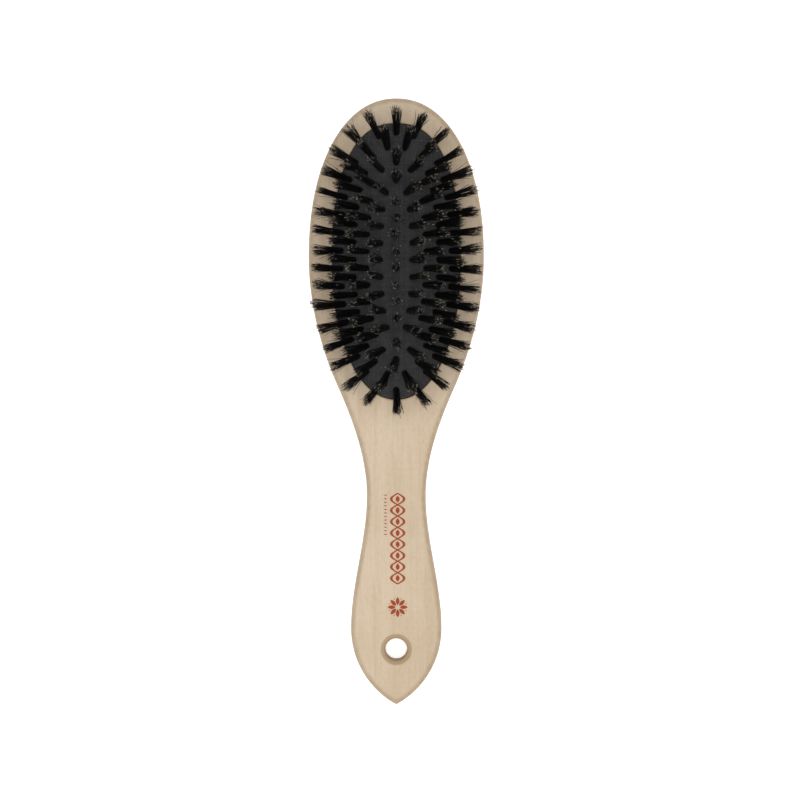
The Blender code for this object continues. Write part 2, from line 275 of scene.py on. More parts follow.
def makeWeave():
    # plain weave: square cells, where warp and weft lie on top by turns
    tree, given, result = newTree(
        "plainWeave",
        "ShaderNodeTree",
        {"Coordinate": ("Vector", None), "Pitch": ("Float", 0.6 * mm), "Unevenness": ("Float", 0.2)},
        {"Height": "Float", "Thread tone": "Float", "Shade between threads": "Float"},
    )
    calc, vector = mathIn(tree), vectorMathIn(tree)

    def whicheverIsUp(onWarp, onWeft):
        return calc("+", calc("*", onWarp, warpUp), calc("*", onWeft, calc("-", 1, warpUp)))

    inputs = {"Vector": given["Coordinate"], "Scale": 180.0, "Detail": 2.0}
    slow = addNode(tree, "ShaderNodeTexNoise", inputs)
    push = vector("-", slow.outputs["Color"], (0.5, 0.5, 0.5))
    place = vector("SCALE", given["Coordinate"], calc("/", 1, given["Pitch"]))
    place = vector("+", place, vector("SCALE", push, calc("*", given["Unevenness"], 4)))
    parts = splitUp(tree, place)
    cellX, cellY = calc("FLOOR", parts["X"]), calc("FLOOR", parts["Y"])
    acrossX = calc("SINE", calc("*", calc("FRACT", parts["X"]), math.pi))
    acrossY = calc("SINE", calc("*", calc("FRACT", parts["Y"]), math.pi))
    warpUp = calc("PINGPONG", calc("+", cellX, cellY), 1)
    warp = calc("*", calc("POWER", acrossX, 0.6), calc("+", calc("*", acrossY, 0.5), 0.5))
    weft = calc("*", calc("POWER", acrossY, 0.6), calc("+", calc("*", acrossX, 0.5), 0.5))
    rise = whicheverIsUp(warp, weft)
    tree.links.new(rise, result["Height"])
    cell = joined(tree, cellX, cellY)
    cellTone = addNode(tree, "ShaderNodeTexWhiteNoise", {"Vector": cell}).outputs["Value"]
    runX, runY = [
        addNode(tree, "ShaderNodeTexWhiteNoise", {"W": cells}, noise_dimensions="1D").outputs["Value"]
        for cells in (cellX, cellY)
    ]
    runs = whicheverIsUp(runX, runY)
    tree.links.new(calc("+", calc("*", cellTone, 0.35), calc("*", runs, 0.65)), result["Thread tone"])
    # a mask for painted shade where the threads dip between one another
    tree.links.new(mapRange(tree, rise, 0.15, 0.6, 1, 0), result["Shade between threads"])
    return tree


woodGrain, handling, plainWeave = makeWoodGrain(), makeHandling(), makeWeave()
print("shared shader groups made")


# Finishes


def newFinish(name, shine=0.5, **uniform):
    finish = bpy.data.materials.new(name)
    finish.use_nodes = True
    tree = finish.node_tree
    shader = tree.nodes["Principled BSDF"]
    shader.inputs["Specular IOR Level"].default_value = shine
    for label, value in uniform.items():
        shader.inputs[label].default_value = value
    place = addNode(tree, "ShaderNodeTexCoord").outputs["Object"]
    return finish, tree, shader.inputs, place


def useGroup(tree, group, inputs):
    return addNode(tree, "ShaderNodeGroup", inputs, node_tree=group).outputs


def readAttribute(tree, name):
    return addNode(tree, "ShaderNodeAttribute", attribute_name=name).outputs["Fac"]


def addBump(tree, shader, height, distance, strength):
    inputs = {"Height": height, "Distance": distance, "Strength": strength}
    tree.links.new(addNode(tree, "ShaderNodeBump", inputs).outputs[0], shader["Normal"])


studioLight = 1.45  # how much a white surface would read over pure white


def asSeen(*channels):
    # the surface colour that reads as this one, 0 to 255, under the studio's light
    linear = [c / 255 / 12.92 if c < 11 else ((c / 255 + 0.055) / 1.055) ** 2.4 for c in channels]
    return (*[value / studioLight for value in linear], 1)


woodFinish = {
    "lightWood": asSeen(218, 198, 171),
    "darkWood": asSeen(187, 160, 125),
    "cutWoodAndShade": asSeen(172, 138, 94),  # where a cutter opens the pores, and, with the share below, painted shade deeper in the countersink and the bore
    "openedAndShaded": 0.62,
    # a colour for dirt in specks, and for painted shade with wear on the edges, in the pocket and in the
    # bore
    "soilAndShade": asSeen(120, 98, 74),
    "edgeShadeAndSoil": 0.22,
    "soiledSpecks": 0.25,
    "fibre": 0.3,
    "fleck": 0.5,
    "grainDepth": 0.05 * mm,
}


def makePaleWood():
    finish, tree, shader, place = newFinish("paleWood", 0.35)
    grain = useGroup(tree, woodGrain, {
        "Coordinate": place,
        "Light wood": woodFinish["lightWood"],
        "Dark wood": woodFinish["darkWood"],
        "Fibre": woodFinish["fibre"],
        "Fleck": woodFinish["fleck"],
    })
    use = useGroup(tree, handling, {
        "Coordinate": place, "Patch size": 14 * mm, "Edge": readAttribute(tree, "edge")
    })
    calc = mathIn(tree)
    # pores the cutter opens, with painted shade deeper in the countersink and the bore
    openedAndShaded = calc("*", readAttribute(tree, "cutAndShade"), woodFinish["openedAndShaded"])
    cutAndShade = mixColours(tree, openedAndShaded, grain["Color"], woodFinish["cutWoodAndShade"])
    # painted shade with wear on the rounded edges, in the pocket and in the bore, and dirt in specks
    shadeAndSoil = calc("*", use["Edge shade and wear"], woodFinish["edgeShadeAndSoil"])
    shadeAndSoil = calc("+", shadeAndSoil, calc("*", use["Specks"], woodFinish["soiledSpecks"]))
    tree.links.new(mixColours(tree, shadeAndSoil, cutAndShade, woodFinish["soilAndShade"]), shader["Base Color"])
    tree.links.new(mapRange(tree, grain["Gloss"], 0.2, 0.9, 0.42, 0.6), shader["Roughness"])
    addBump(tree, shader, grain["Height"], woodFinish["grainDepth"], 0.6)
    return finish


inkFinish = {
    "ink": asSeen(156, 56, 14),
    "thinInk": asSeen(184, 104, 58),
    "coverage": 0.92,
}


def makeStampInk():
    finish, tree, shader, place = newFinish("stampInk", 0.15)
    grain = useGroup(tree, woodGrain, {
        "Coordinate": place,
        "Light wood": inkFinish["thinInk"],
        "Dark wood": inkFinish["ink"],
        "Fibre": 0.5,
        "Fleck": 0.5,
    })
    use = useGroup(tree, handling, {"Coordinate": place, "Patch size": 2.5 * mm})
    cover = mapRange(tree, use["Patches"], 0.0, 0.7, inkFinish["coverage"], 0.55)
    tree.links.new(mixColours(tree, cover, grain["Color"], inkFinish["ink"]), shader["Base Color"])
    tree.links.new(mapRange(tree, use["Patches"], 0, 1, 0.45, 0.7), shader["Roughness"])
    addBump(tree, shader, grain["Height"], 0.04 * mm, 0.5)
    return finish


clothFinish = {
    "pitch": 0.65 * mm,
    "unevenness": 0.05,
    "darkThread": asSeen(20, 21, 22),
    "lightThread": asSeen(61, 62, 63),
    # painted shade in the hollows between threads
    "gap": asSeen(6, 6, 6),
    "lint": asSeen(150, 146, 138),
    "threadDepth": 0.16 * mm,
}


def makeWovenFacing():
    finish, tree, shader, place = newFinish(
        "wovenFacing", 0.2, **{"Sheen Weight": 0.15, "Sheen Roughness": 0.6}
    )
    weave = useGroup(tree, plainWeave, {
        "Coordinate": place, "Pitch": clothFinish["pitch"], "Unevenness": clothFinish["unevenness"]
    })
    use = useGroup(tree, handling, {"Coordinate": place, "Patch size": 7 * mm})
    calc = mathIn(tree)
    tone = calc("+", calc("*", weave["Thread tone"], 0.7), calc("*", use["Patches"], 0.3))
    thread = mixColours(tree, tone, clothFinish["darkThread"], clothFinish["lightThread"])
    # painted shade where the threads dip
    thread = mixColours(tree, calc("*", weave["Shade between threads"], 0.8), thread, clothFinish["gap"])
    lint = calc("*", use["Specks"], 0.55)
    tree.links.new(mixColours(tree, lint, thread, clothFinish["lint"]), shader["Base Color"])
    tree.links.new(mapRange(tree, weave["Thread tone"], 0, 1, 0.72, 0.9), shader["Roughness"])
    addBump(tree, shader, weave["Height"], clothFinish["threadDepth"], 0.9)
    return finish


def makeBlackRubber():
    finish, tree, shader, place = newFinish("blackRubber", 0.4)
    use = useGroup(tree, handling, {"Coordinate": place, "Patch size": 5 * mm})
    dark, dusty = asSeen(22, 22, 23), asSeen(52, 51, 49)
    tree.links.new(mixColours(tree, use["Patches"], dark, dusty), shader["Base Color"])
    tree.links.new(mapRange(tree, use["Patches"], 0, 1, 0.5, 0.75), shader["Roughness"])
    addBump(tree, shader, noise(tree, place, 3500, 2), 0.03 * mm, 0.5)
    return finish


bristleFinish = {
    "root": asSeen(6, 6, 6),
    "shaft": asSeen(14, 12, 11),
    "tip": asSeen(62, 44, 28),
    # painted glint on the hairs' ends
    "paintedGlintTip": asSeen(238, 226, 202),
}


def makeBoarBristle():
    finish, tree, shader, place = newFinish("boarBristle", 0.55, **{"Coat Roughness": 0.25})
    calc = mathIn(tree)
    along, tone = readAttribute(tree, "along"), readAttribute(tree, "tone")
    up = mapRange(tree, along, 0.1, 0.8)
    shaft = mixColours(tree, up, bristleFinish["root"], bristleFinish["shaft"])
    streak = noise(tree, vectorMathIn(tree)("*", place, (2500, 2500, 600)), 1, 2)
    brownStart = mapRange(tree, tone, 0, 1, 0.99, 0.89)
    brown = mapRange(tree, calc("-", along, brownStart), 0, 0.12, 0, 0.7)
    brown = calc("*", brown, mapRange(tree, streak, 0.3, 0.7, 0.5, 1))
    colour = mixColours(tree, brown, shaft, bristleFinish["tip"])
    paintedGlint = calc("*", mapRange(tree, tone, 0.82, 0.85), mapRange(tree, along, 0.93, 0.97))  # painted glint on the ends of a hair in six
    tree.links.new(mixColours(tree, paintedGlint, colour, bristleFinish["paintedGlintTip"]), shader["Base Color"])
    tree.links.new(mapRange(tree, tone, 0, 1, 0.3, 0.5), shader["Roughness"])
    tree.links.new(mapRange(tree, along, 0.2, 1, 0.0, 0.3), shader["Coat Weight"])
    return finish


paleWood, stampInk, wovenFacing = makePaleWood(), makeStampInk(), makeWovenFacing()
blackRubber, boarBristle = makeBlackRubber(), makeBoarBristle()
print("finishes made")


# The cushion's own shape, which the wood's pocket, the cloth, the rubber and the tufts all follow.
# x and y run from the pocket's centre

cushion = {
    "layerGap": 0.35 * mm,
    "rowHalfLength": 21 * mm,  # of the straight row of tufts in the middle
    "endSpread": 1.15,  # above 1, the ovals lie closer together at the cushion's ends
    "headFullness": 2.4,  # 2 is an ellipse, more is squarer
    "handleFullness": 2.1,
    "domeHeight": clothHigh.z - woodHigh.z,
}
pocketY = (clothLow.y + clothHigh.y) / 2
pocketHalfWidth = clothHigh.x + cushion["layerGap"]
pocketHalfLength = (clothHigh.y - clothLow.y) / 2 + cushion["layerGap"] * 1.067  # the ovals' spacing there


def ovalSize(t):
    # half width and half length of the oval at t: 0 is the middle row and 1 is the pocket's wall
    spread = t * (cushion["endSpread"] + (1 - cushion["endSpread"]) * t)
    row = cushion["rowHalfLength"]
    return t * pocketHalfWidth, row + (pocketHalfLength - row) * spread


def fullnessAt(y):
    return cushion["headFullness"] if y > 0 else cushion["handleFullness"]


def ovalAtInset(inset):
    return 1 - inset / pocketHalfWidth


def ovalRing(t, steps):
    # points round an oval, anticlockwise from the head's end
    halfWidth, halfLength = ovalSize(t)
    ring = []
    for i in range(steps):
        angle = math.pi / 2 + 2 * math.pi * i / steps
        s, c = math.sin(angle), math.cos(angle)
        side = max(1 - abs(s) ** fullnessAt(s), 0) ** (1 / fullnessAt(s))
        ring.append((math.copysign(side, c) * halfWidth, s * halfLength))
    return ring


def ovalThrough(x, y):
    # the t of the oval through a point
    low, high, fullness = 0.0, 1.5, fullnessAt(y)
    for _ in range(40):
        t = (low + high) / 2
        halfWidth, halfLength = ovalSize(t)
        if (abs(x) / halfWidth) ** fullness + (abs(y) / halfLength) ** fullness > 1:
            low = t
        else:
            high = t
    return high


def domeAt(x, y):
    return cushion["domeHeight"] * (1 - ovalThrough(x, y) ** 2)


# Wooden body

board = {
    "tailLength": 28 * mm,  # tail's point to the widest part of the grip
    "gripLength": 48.4 * mm,  # on to the waist
    "neckLength": 39.5 * mm,  # on to the shoulder
    "shoulderLength": 48.1 * mm,  # on to the widest part of the head
    "gripHalfWidth": 16.6 * mm,
    "waistHalfWidth": 10.8 * mm,
    "shoulderHalfWidth": 21.2 * mm,
    "shoulderFlare": 0.446,
    "headFullness": 2.15,
    "frontRounding": 2 * mm,
    "backRounding": 4.5 * mm,
    "tipSoftness": 0.35 * mm,
    "flatMargin": 0.25 * mm,  # keeps the flat faces' shading flat up to the roundings
    "stretchSteps": 70,
    "headSteps": 100,
}
hangHole = {
    "radius": 4 * mm,
    "fromTail": 20.3 * mm,
    "countersinkWidth": 1.6 * mm,
    "countersinkDepth": 1.2 * mm,
    "softness": 0.16 * mm,
    "steps": 96,
}
pocket = {
    "rimSoftness": 0.3 * mm,
    "depth": 5.5 * mm,
    "grooveTop": 1.7 * mm,
    "grooveHeight": 2 * mm,
    "grooveDepth": 1.3 * mm,
    "steps": 360,
}


def eased(low, high, slopeLow, slopeHigh, share):
    # cubic curve between two values, with the given slopes at its ends
    s2, s3 = share * share, share**3
    rise = low * (2 * s3 - 3 * s2 + 1) + high * (3 * s2 - 2 * s3)
    return rise + slopeLow * (s3 - 2 * s2 + share) + slopeHigh * (s3 - s2)


def sideAboveGrip():
    # the outline's right side, from the widest part of the grip up to the head's end
    y = tailY + board["tailLength"]
    flare, shoulder = board["shoulderFlare"], board["shoulderHalfWidth"]
    stretches = (
        (board["gripLength"], board["gripHalfWidth"], board["waistHalfWidth"], 0, 0),
        (board["neckLength"], board["waistHalfWidth"], shoulder, 0, flare),
        (board["shoulderLength"], shoulder, woodHigh.x, flare, 0),
    )
    points = []
    for length, low, high, flareLow, flareHigh in stretches:
        for i in range(board["stretchSteps"]):
            share = i / board["stretchSteps"]
            x = eased(low, high, flareLow * length, flareHigh * length, share)
            points.append(Vector((x, y + length * share)))
        y += length
    for i in range(board["headSteps"] + 1):
        s, fullness = math.sin(math.pi / 2 * i / board["headSteps"]), board["headFullness"]
        x = woodHigh.x * max(1 - s**fullness, 0) ** (1 / fullness)
        points.append(Vector((x, y + (woodHigh.y - y) * s)))
    return points


def tailSide(inset):
    # the right side of the tail, an arc that is inset by making it smaller, so its ends stay on the middle
    width, length = board["gripHalfWidth"], board["tailLength"]
    radius = (width**2 + length**2) / (2 * width)
    start = math.acos((radius - width) / (radius - inset))
    slope, soft = 1 / math.tan(start), board["tipSoftness"]
    points = []
    for i in range(board["stretchSteps"]):
        angle = start * (1 - i / board["stretchSteps"])
        x = width - radius + (radius - inset) * math.cos(angle)
        y = tailY + length - (radius - inset) * math.sin(angle)
        points.append((x, y + slope * (math.hypot(x, soft) - abs(x))))
    return points


upperSide = sideAboveGrip()


def outlineRing(inset):
    right = tailSide(inset)
    last = len(upperSide) - 1
    for i, point in enumerate(upperSide):
        if i == last:
            right.append((0.0, point.y - inset))
            continue
        ahead = upperSide[i + 1] - upperSide[max(i - 1, 0)] if i else Vector((0, 1))
        inward = Vector((-ahead.y, ahead.x)).normalized()
        right.append(tuple(point + inward * inset))
    left = [(-x, y) for x, y in reversed(right[1:-1])]
    return right + left


def quarterTurn(steps):
    return [math.pi / 2 * i / steps for i in range(steps + 1)]


def boardRows():
    # (inset from the outline, z, painted edge shade with wear), from the front face round to the back
    front, back, margin = board["frontRounding"], board["backRounding"], board["flatMargin"]
    rows = [(front + margin, faceZ, 0)]
    for a in quarterTurn(8):
        z = faceZ - front + front * math.cos(a)
        rows.append((front - front * math.sin(a), z, math.sin(2 * a) + 0.15))
    rows.append((0, faceZ - front - margin, 0.15))
    rows.append((0, (faceZ + back - front) / 2, 0.1))
    rows.append((0, back + margin, 0.1))
    for a in quarterTurn(12):
        rows.append((back - back * math.cos(a), back - back * math.sin(a), 0.6 * math.sin(2 * a) + 0.1))
    rows.append((back + margin, 0, 0))
    return rows


def holeRows():
    # (radius, z, how open the pores are, with painted shade deepening towards the countersink's foot), from
    # the front face to the back
    radius, soft = hangHole["radius"], hangHole["softness"]
    width, depth = hangHole["countersinkWidth"], hangHole["countersinkDepth"]
    down = [
        (radius + width + 2 * soft, 0, 0),
        (radius + width + 0.6 * soft, 0.15 * soft, 0.2),
        (radius + width - 0.5 * soft, soft, 0.55),
        (radius + width / 2, depth / 2, 0.7),
        (radius + 1.2 * soft, depth - soft, 1),
        (radius + 0.25 * soft, depth + 0.2 * soft, 0.9),
        (radius, depth + 1.5 * soft, 0.8),
    ]
    front = [(r, faceZ - z, cutAndShade) for r, z, cutAndShade in down]
    return front + [(radius, faceZ / 2, 0.8)] + [(r, z, cutAndShade) for r, z, cutAndShade in reversed(down)]


def pocketRows():
    # (inset from the pocket's wall, z from the wood's face, how open the pores are, which also paints shade
    # into the pocket)
    soft, top = pocket["rimSoftness"], -pocket["grooveTop"]
    rows = [(-2 * soft, 0, 0)]
    rows += [(-soft + soft * math.sin(a), soft * math.cos(a) - soft, 0.6) for a in quarterTurn(4)]
    base = top - pocket["grooveHeight"]
    rows += [(0, top, 1), (-pocket["grooveDepth"], top, 1), (-pocket["grooveDepth"], base, 1), (0, base, 1)]
    rows.append((0, -pocket["depth"], 1))
    return rows


def makeWoodBody():
    bm = bmesh.new()
    edge = bm.verts.layers.float.new("edge")
    cutAndShade = bm.verts.layers.float.new("cutAndShade")

    def addRow(points, z, shadeAndWear=0.0, openedAndShaded=0.0):
        row = [bm.verts.new((x, y, z)) for x, y in points]
        for vert in row:
            vert[edge], vert[cutAndShade] = shadeAndWear, openedAndShaded
        return row

    shell = [addRow(outlineRing(inset), z, shadeAndWear) for inset, z, shadeAndWear in boardRows()]
    holeY, steps = tailY + hangHole["fromTail"], hangHole["steps"]
    turns = [2 * math.pi * i / steps for i in range(steps)]
    hole = []
    for radius, z, openedAndShaded in holeRows():
        circle = [(radius * math.cos(a), holeY + radius * math.sin(a)) for a in turns]
        # in the bore, a tenth of the pores' share goes into the edge mask as painted shade
        hole.append(addRow(circle, z, 0.1 * openedAndShaded, openedAndShaded))
    well = []
    for inset, z, openedAndShaded in pocketRows():
        oval = [(x, y + pocketY) for x, y in ovalRing(ovalAtInset(inset), pocket["steps"])]
        # in the pocket, half the pores' share goes into the edge mask as painted shade
        well.append(addRow(oval, faceZ + z, 0.5 * openedAndShaded, openedAndShaded))
    for rows in (shell, hole, well):
        for high, low in zip(rows, rows[1:]):
            bridge(bm, high, low)
    fillFlat(bm, [shell[0], well[0], hole[0]])
    fillFlat(bm, [shell[-1], hole[-1]])
    fillFlat(bm, [well[-1]])
    piece = finishPiece("woodBody", bm, paleWood)
    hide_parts("wood_body")
    return piece


woodBody = makeWoodBody()
print("wooden body made:", len(woodBody.data.polygons), "faces")


# Stamped ornament on the handle: a twisted pair of strands with a lozenge in each eye, a row of
# small lozenges beside it, and a rosette

stamp = {
    "startY": -33.6 * mm,
    "endY": -66.7 * mm,
    "middleX": 0.5 * mm,
    "strandSwing": 2.35 * mm,
    "twists": 8,
    "stepsInTwist": 12,
    "strandWidth": 0.5 * mm,
    "strandSwell": 0.5 * mm,  # added where a strand swings out
    "sideRowX": -3.95 * mm,
    "sideRowLength": 15.6 * mm,
    "sideRowCount": 12,
    "rosetteY": -75.2 * mm,
    "rosetteRadius": 3.7 * mm,
    "petals": 8,
    "lift": 0.03 * mm,  # the ink's thickness over the wood
    "sink": 0.02 * mm,
    "overlap": 0.01 * mm,  # one strand lies over the other where they cross
}


def addStamp(bm, left, right, lift=0.0):
    # thin closed strip between two edges of equally many points
    z = (faceZ - stamp["sink"] - lift, faceZ + stamp["lift"] + lift)
    rows = [[bm.verts.new((*p.xy, z[0])) for p in side] for side in (left, right)]
    rows += [[bm.verts.new((*p.xy, z[1])) for p in side] for side in (right, left)]
    for low, high in zip(rows, rows[1:] + rows[:1]):
        for i in range(len(low) - 1):
            bm.faces.new((low[i], low[i + 1], high[i + 1], high[i]))
    for end in (0, -1):
        bm.faces.new([row[end] for row in rows])


def addLozenge(bm, centre, along, halfLength, halfWidth, steps=6):
    # almond-shaped mark, pointed at both ends
    across = Vector((-along.y, along.x))
    left, right = [], []
    for i in range(steps + 1):
        share = 2 * i / steps - 1
        width = halfWidth * max(1 - share * share, 0.02)
        middle = centre + along * (halfLength * share)
        left.append(middle + across * width)
        right.append(middle - across * width)
    addStamp(bm, left, right)


def makeStampedOrnament():
    bm = bmesh.new()
    length = stamp["startY"] - stamp["endY"]
    steps = stamp["stepsInTwist"] * stamp["twists"]
    for hand in (-1, 1):
        left, right = [], []
        swing = hand * stamp["strandSwing"]
        for i in range(steps + 1):
            turn = math.pi * stamp["twists"] * i / steps
            y = stamp["startY"] - length * i / steps
            middle = Vector((stamp["middleX"] + swing * math.sin(turn), y))
            slope = swing * math.cos(turn) * math.pi * stamp["twists"] / length
            across = Vector((1, slope)).normalized()
            width = stamp["strandWidth"] + stamp["strandSwell"] * math.sin(turn) ** 4
            left.append(middle + across * width / 2)
            right.append(middle - across * width / 2)
        addStamp(bm, left, right, stamp["overlap"] * (hand > 0))
    eye = length / stamp["twists"]
    for i in range(stamp["twists"]):
        centre = Vector((stamp["middleX"], stamp["startY"] - eye * (i + 0.5)))
        addLozenge(bm, centre, Vector((0, 1)), 0.3 * eye, 0.75 * mm)
    for i in range(stamp["sideRowCount"]):
        y = stamp["startY"] - stamp["sideRowLength"] * (i + 0.5) / stamp["sideRowCount"]
        addLozenge(bm, Vector((stamp["sideRowX"], y)), Vector((1, 0)), 0.62 * mm, 0.2 * mm)
    heart, reach = Vector((stamp["middleX"], stamp["rosetteY"])), stamp["rosetteRadius"]
    # petals, and a small mark between every two of them
    for turn, out, halfLength, halfWidth in (
        (0, 0.6 * reach, 0.4 * reach, 0.19 * reach), (0.5, 0.88 * reach, 0.3 * mm, 0.16 * mm)
    ):
        for i in range(stamp["petals"]):
            angle = 2 * math.pi * (i + turn) / stamp["petals"]
            along = Vector((math.cos(angle), math.sin(angle)))
            addLozenge(bm, heart + along * out, along, halfLength, halfWidth)
    finishPiece("stampedOrnament", bm, stampInk)


makeStampedOrnament()
print("ornament stamped")


# Tufts: rings that grow from the middle row out to the edge

tuftRings = {
    "spread": 0.9,  # below 1, the rings lie closer together towards the edge
    "edgeInset": 3.4 * mm,
    "layoutSteps": 720,
    "sideLean": 1.4,  # lean from the upright, as a multiple of the cushion's slope
    "endLean": 1.2,
    "bundles": (  # body, nodes' name, tufts, tufts in a node, first tuft's turn in steps
        ("centre_tufts", "centre_tuft_row", 8, 4, 0.0),
        ("inner_tufts", "inner_tuft_pair", 20, 2, 0.0),
        ("middle_tufts", "middle_tuft_pair", 26, 2, 0.0),
        ("outer_tufts", "outer_tuft_pair", 30, 2, 0.5),
        ("edge_tufts", "edge_tuft_pair", 34, 2, 0.0),
    ),
}


def downhill(x, y):
    # the dome's slope at a point, pointing down and outwards
    step = 0.1 * mm
    along = Vector((domeAt(x - step, y) - domeAt(x + step, y), domeAt(x, y - step) - domeAt(x, y + step)))
    return along / (2 * step)


def tuftWay(x, y):
    slope = downhill(x, y)
    out = slope.normalized() if slope.length > 1e-6 else Vector((0, 0))
    more = (tuftRings["sideLean"] - tuftRings["endLean"]) * out.x**2
    lean = math.atan(slope.length) * (tuftRings["endLean"] + more)
    return Vector((out.x * math.sin(lean), out.y * math.sin(lean), math.cos(lean)))


def evenlyAlong(path, count, turn):
    # points at equal steps along a closed path, the first one this share of a step from its start
    closed = [Vector(p) for p in path] + [Vector(path[0])]
    lengths = [0.0]
    for a, b in zip(closed, closed[1:]):
        lengths.append(lengths[-1] + (b - a).length)
    found = []
    for i in range(count):
        goal = lengths[-1] * (i + turn) / count
        k = next(k for k, length in enumerate(lengths) if length > goal) - 1
        share = (goal - lengths[k]) / (lengths[k + 1] - lengths[k])
        found.append(closed[k].lerp(closed[k + 1], share))
    return found


def ringOval(i):
    # the t of a ring of tufts, counted from the inner one
    rings = len(tuftRings["bundles"]) - 1
    return ovalAtInset(tuftRings["edgeInset"]) * ((i + 1) / rings) ** tuftRings["spread"]


def tuftPlaces(i):
    # where the tufts of a body leave the cloth, from the pocket's centre
    count, turn = tuftRings["bundles"][i][2], tuftRings["bundles"][i][4]
    if i == 0:
        row = cushion["rowHalfLength"]
        return [Vector((0, row * (1 - 2 * k / (count - 1)))) for k in range(count)]
    return evenlyAlong(ovalRing(ringOval(i - 1), tuftRings["layoutSteps"]), count, turn)


def tuftMesh(name, places, chance, variety):
    # one vertex for each tuft, with the way it stands and what sets it apart from the others
    mesh = bpy.data.meshes.new(name)
    mesh.from_pydata([(x, y + pocketY, faceZ + domeAt(x, y)) for x, y in places], [], [])
    ways, curls, talls, spreads = [], [], [], []
    for x, y in places:
        tilt = Vector((chance.gauss(0, variety["tilt"]), chance.gauss(0, variety["tilt"]), 0))
        ways.extend((tuftWay(x, y) + tilt).normalized())
        curls.extend((chance.gauss(0, variety["curl"]), chance.gauss(0, variety["curl"]), 0))
        talls.append(1 + chance.uniform(-1, 0.4) * variety["height"])
        spreads.append(1 + chance.uniform(-1, 1) * variety["spread"])
    for label, kind, values in (("way", "FLOAT_VECTOR", ways), ("curl", "FLOAT_VECTOR", curls)):
        mesh.attributes.new(label, kind, "POINT").data.foreach_set("vector", values)
    for label, kind, values in (("tall", "FLOAT", talls), ("spread", "FLOAT", spreads)):
        mesh.attributes.new(label, kind, "POINT").data.foreach_set("value", values)
    return mesh


tuftVariety = {
    "seed": 7,
    "tilt": 0.022,
    "curl": 0.35 * mm,  # how far a tuft's end bends aside
    "height": 0.05,
    "spread": 0.16,
}
chance = random.Random(tuftVariety["seed"])
tuftMeshes = []
for i, bundle in enumerate(tuftRings["bundles"]):
    tuftMeshes.append(tuftMesh(bundle[0], tuftPlaces(i), chance, tuftVariety))
print("tufts placed:", sum(len(mesh.vertices) for mesh in tuftMeshes))


def growPiece(name, mesh, tree, inputs, wall=0.0):
    # runs a Geometry Nodes tree on a mesh, and keeps its result as a plain mesh
    piece = addPiece(name, mesh)
    modifier = piece.modifiers.new(tree.name, "NODES")
    modifier.node_group = tree
    for item in tree.interface.items_tree:
        if item.in_out == "INPUT" and item.name in inputs:
            modifier[item.identifier] = inputs[item.name]
    if wall:
        solid = piece.modifiers.new("wall", "SOLIDIFY")
        solid.thickness, solid.offset, solid.use_even_offset = wall, -1, True
    bpy.context.view_layer.update()
    graph = bpy.context.evaluated_depsgraph_get()
    grown = bpy.data.meshes.new_from_object(
        piece.evaluated_get(graph), preserve_all_data_layers=True, depsgraph=graph
    )
    piece.modifiers.clear()
    piece.data = grown
    grown.name = name
    return piece


# Bristles

bristles = {
    "Hairs": 90,
    "Length": 15 * mm,
    "Buried": 2.7 * mm,
    "Root radius": 1.02 * mm,
    "Tip radius": 1.75 * mm,
    "Hair radius": 0.11 * mm,
    "Splay": 0.9 * mm,
    "Stray share": 0.045,
    "Stray reach": 2.6 * mm,
    "Segments": 7,
}
hairShape = {
    "bend": (0.05, 0.45),  # a hair's own bend, as a share of the splay
    "strayBend": (0.4, 1),  # a stray hair's, as a share of the stray reach
    "uneven": 0.13,  # how much shorter the shortest hair is
    "rounded": 0.035,  # how much shorter the outer hairs of a tuft are
    "clumps": 1.9,  # clumps across a tuft
    "clumpLean": 3.2,  # how far a clump leans, as a multiple of the splay
    "tuftsApart": 7.3,  # keeps the clumps of two tufts from matching
    "taper": 0.42,  # how much thinner a hair's tip is
    "width": (0.8, 1.15),  # darkest and palest hair
}


